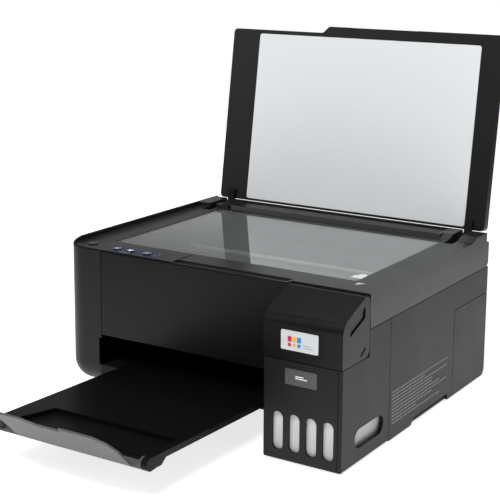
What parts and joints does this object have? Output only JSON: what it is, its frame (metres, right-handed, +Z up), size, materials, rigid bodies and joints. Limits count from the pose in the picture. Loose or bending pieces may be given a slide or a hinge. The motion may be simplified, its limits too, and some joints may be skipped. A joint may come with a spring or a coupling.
{
  "type": "inkjet printer",
  "caption": "Black tank-type inkjet printer and scanner with its document lid open, front ink tank unit with windows, and a pulled-out output tray with a raised paper stopper.",
  "frame": {"origin": "centre of the rest pose's bounding box in X and Y, on the plane the rubber feet stand on", "axes": "X to the right of a person facing the printer, Y from the front to the back, Z up"},
  "size_m": [0.375, 0.5799, 0.3936],
  "materials": {
    "black_plastic": "fine textured black",
    "gloss_black": "polished black",
    "dark_grey_plastic": "satin",
    "grey_plastic": "satin mid grey",
    "silver_plastic": "satin silver",
    "button_plastic": "satin",
    "white_plastic": "plain",
    "white_foam": "smooth foam-backed sheet",
    "rubber": "plain",
    "steel": "zinc plated",
    "brass": "plain",
    "glass": "float glass",
    "clear_tank": "frosted translucent",
    "felt": "dense felt",
    "board": "solder-masked circuit board",
    "cap_black": "rubbery",
    "cap_cyan": "rubbery",
    "cap_magenta": "rubbery",
    "cap_yellow": "rubbery"
  },
  "bodies": {
    "base": {"base_case": "black_plastic", "left_side_cover": "black_plastic", "right_side_panel": "black_plastic", "right_rear_cover": "black_plastic", "back_cover": "black_plastic", "rubber_feet": "rubber", "tank_housing": "black_plastic", "ink_tanks": "clear_tank", "tank_plate": "grey_plastic", "mechanism_frame": "steel", "platen": "dark_grey_plastic", "carriage_rod": "steel", "drive_motors": "steel", "timing_belt": "rubber", "waste_ink_pad": "felt", "main_board": "board", "usb_port": "steel", "power_supply": "dark_grey_plastic", "ac_inlet": "dark_grey_plastic", "case_screws": "steel", "ink_tubes": "clear_tank", "feeder_frame": "black_plastic", "paper_chute": "dark_grey_plastic"},
    "scanner_unit": {"scanner_bezel": "black_plastic", "scanner_pan": "dark_grey_plastic", "scanner_glass": "glass", "scan_rod": "steel", "front_panel": "gloss_black", "control_panel": "gloss_black"},
    "scan_head": {"scan_bar": "dark_grey_plastic"},
    "document_lid": {"document_cover": "black_plastic", "cover_pad": "white_foam", "cover_hinge_arms": "dark_grey_plastic"},
    "tank_cover_body": {"tank_cover": "black_plastic", "cover_badge": "silver_plastic"},
    "guard": {"feeder_guard": "black_plastic"},
    "support": {"paper_support": "dark_grey_plastic"},
    "guide_left": {"paper_guide_left": "dark_grey_plastic"},
    "guide_right": {"paper_guide_right": "dark_grey_plastic"},
    "tray": {"output_tray": "black_plastic"},
    "stopper": {"tray_stopper": "grey_plastic"},
    "carriage": {"print_carriage": "dark_grey_plastic", "print_head": "dark_grey_plastic"},
    "pulley_left": {"belt_pulley_left": "white_plastic"},
    "pulley_right": {"belt_pulley_right": "white_plastic"},
    "feed_shaft": {"feed_roller": "steel", "feed_gear": "white_plastic"},
    "idler": {"idler_gear": "white_plastic"},
    "exit_shaft": {"exit_roller": "dark_grey_plastic"},
    "pinion": {"motor_pinion": "brass"},
    "pinch_shaft": {"pinch_roller": "dark_grey_plastic"},
    "pickup_shaft": {"pickup_roller": "rubber"},
    "cap_black": {"tank_cap_black": "cap_black"},
    "cap_cyan": {"tank_cap_cyan": "cap_cyan"},
    "cap_magenta": {"tank_cap_magenta": "cap_magenta"},
    "cap_yellow": {"tank_cap_yellow": "cap_yellow"},
    "power_key": {"power_button": "button_plastic"},
    "copy_key": {"copy_button": "button_plastic"},
    "start_key": {"start_button": "button_plastic"},
    "stop_key": {"stop_button": "button_plastic"}
  },
  "joints": [
    {"name": "scanner_lift", "type": "hinge", "parent": "base", "child": "scanner_unit", "pos_m": [0, 0.241, 0.1565], "axis": [-1, 0, 0], "range_deg": [0, 30]},
    {"name": "lid_hinge", "type": "hinge", "parent": "scanner_unit", "child": "document_lid", "pos_m": [0, 0.2245, 0.15], "axis": [-1, 0, 0], "range_deg": [-98.5, 0]},
    {"name": "scan_head_slide", "type": "slide", "parent": "scanner_unit", "child": "scan_head", "axis": [1, 0, 0], "range_m": [0, 0.285]},
    {"name": "tank_cover_hinge", "type": "hinge", "parent": "base", "child": "tank_cover_body", "pos_m": [0.144, -0.0555, 0.1581], "axis": [-1, 0, 0], "range_deg": [0, 60]},
    {"name": "cap_black_hinge", "type": "hinge", "parent": "base", "child": "cap_black", "pos_m": [0.1172, -0.0655, 0.0985], "axis": [-1, 0, 0], "range_deg": [0, 95]},
    {"name": "cap_cyan_hinge", "type": "hinge", "parent": "base", "child": "cap_cyan", "pos_m": [0.1358, -0.0655, 0.0985], "axis": [-1, 0, 0], "range_deg": [0, 95]},
    {"name": "cap_magenta_hinge", "type": "hinge", "parent": "base", "child": "cap_magenta", "pos_m": [0.1544, -0.0655, 0.0985], "axis": [-1, 0, 0], "range_deg": [0, 95]},
    {"name": "cap_yellow_hinge", "type": "hinge", "parent": "base", "child": "cap_yellow", "pos_m": [0.173, -0.0655, 0.0985], "axis": [-1, 0, 0], "range_deg": [0, 95]},
    {"name": "power_press", "type": "slide", "parent": "scanner_unit", "child": "power_key", "axis": [0, 0, -1], "range_m": [0, 0.0009], "stiffness_N_per_m": 600},
    {"name": "copy_press", "type": "slide", "parent": "scanner_unit", "child": "copy_key", "axis": [0, 0, -1], "range_m": [0, 0.0009], "stiffness_N_per_m": 600},
    {"name": "start_press", "type": "slide", "parent": "scanner_unit", "child": "start_key", "axis": [0, 0, -1], "range_m": [0, 0.0009], "stiffness_N_per_m": 600},
    {"name": "stop_press", "type": "slide", "parent": "scanner_unit", "child": "stop_key", "axis": [0, 0, -1], "range_m": [0, 0.0009], "stiffness_N_per_m": 600},
    {"name": "feeder_guard_hinge", "type": "hinge", "parent": "base", "child": "guard", "pos_m": [0, 0.21, 0.1688], "axis": [1, 0, 0], "range_deg": [0, 60]},
    {"name": "paper_support_slide", "type": "slide", "parent": "base", "child": "support", "axis": [0, 0.1478, 0.989], "range_m": [0, 0.095]},
    {"name": "paper_guide_slide", "type": "slide", "parent": "base", "child": "guide_left", "axis": [1, 0, 0], "range_m": [0, 0.03]},
    {"name": "paper_guide_right_slide", "type": "slide", "parent": "base", "child": "guide_right", "axis": [-1, 0, 0], "range_m": [0, 0.03]},
    {"name": "tray_slide", "type": "slide", "parent": "base", "child": "tray", "axis": [0, 0.9996, -0.0288], "range_m": [0, 0.165]},
    {"name": "stopper_fold", "type": "hinge", "parent": "tray", "child": "stopper", "pos_m": [-0.0165, -0.2516, 0.03949], "axis": [-1, 0, 0], "range_deg": [0, 136]},
    {"name": "carriage_slide", "type": "slide", "parent": "base", "child": "carriage", "axis": [-1, 0, 0], "range_m": [0, 0.248]},
    {"name": "pulley_left_spin", "type": "hinge", "parent": "base", "child": "pulley_left", "pos_m": [-0.155, 0.135, 0.1], "axis": [0, 1, 0], "continuous": true},
    {"name": "pulley_right_spin", "type": "hinge", "parent": "base", "child": "pulley_right", "pos_m": [0.158, 0.135, 0.1], "axis": [0, 1, 0], "continuous": true},
    {"name": "feed_roller_spin", "type": "hinge", "parent": "base", "child": "feed_shaft", "pos_m": [-0.017, 0.1145, 0.062], "axis": [1, 0, 0], "continuous": true},
    {"name": "idler_gear_spin", "type": "hinge", "parent": "base", "child": "idler", "pos_m": [-0.138, 0.0845, 0.062], "axis": [1, 0, 0], "continuous": true},
    {"name": "exit_roller_spin", "type": "hinge", "parent": "base", "child": "exit_shaft", "pos_m": [-0.017, 0.0545, 0.062], "axis": [1, 0, 0], "continuous": true},
    {"name": "motor_pinion_spin", "type": "hinge", "parent": "base", "child": "pinion", "pos_m": [-0.138, 0.1145, 0.037], "axis": [1, 0, 0], "continuous": true},
    {"name": "pinch_roller_spin", "type": "hinge", "parent": "base", "child": "pinch_shaft", "pos_m": [-0.017, 0.1145, 0.0733], "axis": [1, 0, 0], "continuous": true},
    {"name": "pickup_roller_spin", "type": "hinge", "parent": "base", "child": "pickup_shaft", "pos_m": [-0.017, 0.201, 0.098], "axis": [1, 0, 0], "continuous": true}
  ],
  "couplings": [
    {"joint": "idler_gear_spin", "follows": "feed_roller_spin", "ratio": -1},
    {"joint": "exit_roller_spin", "follows": "feed_roller_spin", "ratio": 1},
    {"joint": "motor_pinion_spin", "follows": "feed_roller_spin", "ratio": -1.5},
    {"joint": "paper_guide_right_slide", "follows": "paper_guide_slide", "ratio": 1},
    {"joint": "pulley_left_spin", "follows": "carriage_slide", "rad_per_m": -158.73},
    {"joint": "pulley_right_spin", "follows": "carriage_slide", "rad_per_m": -158.73}
  ]
}
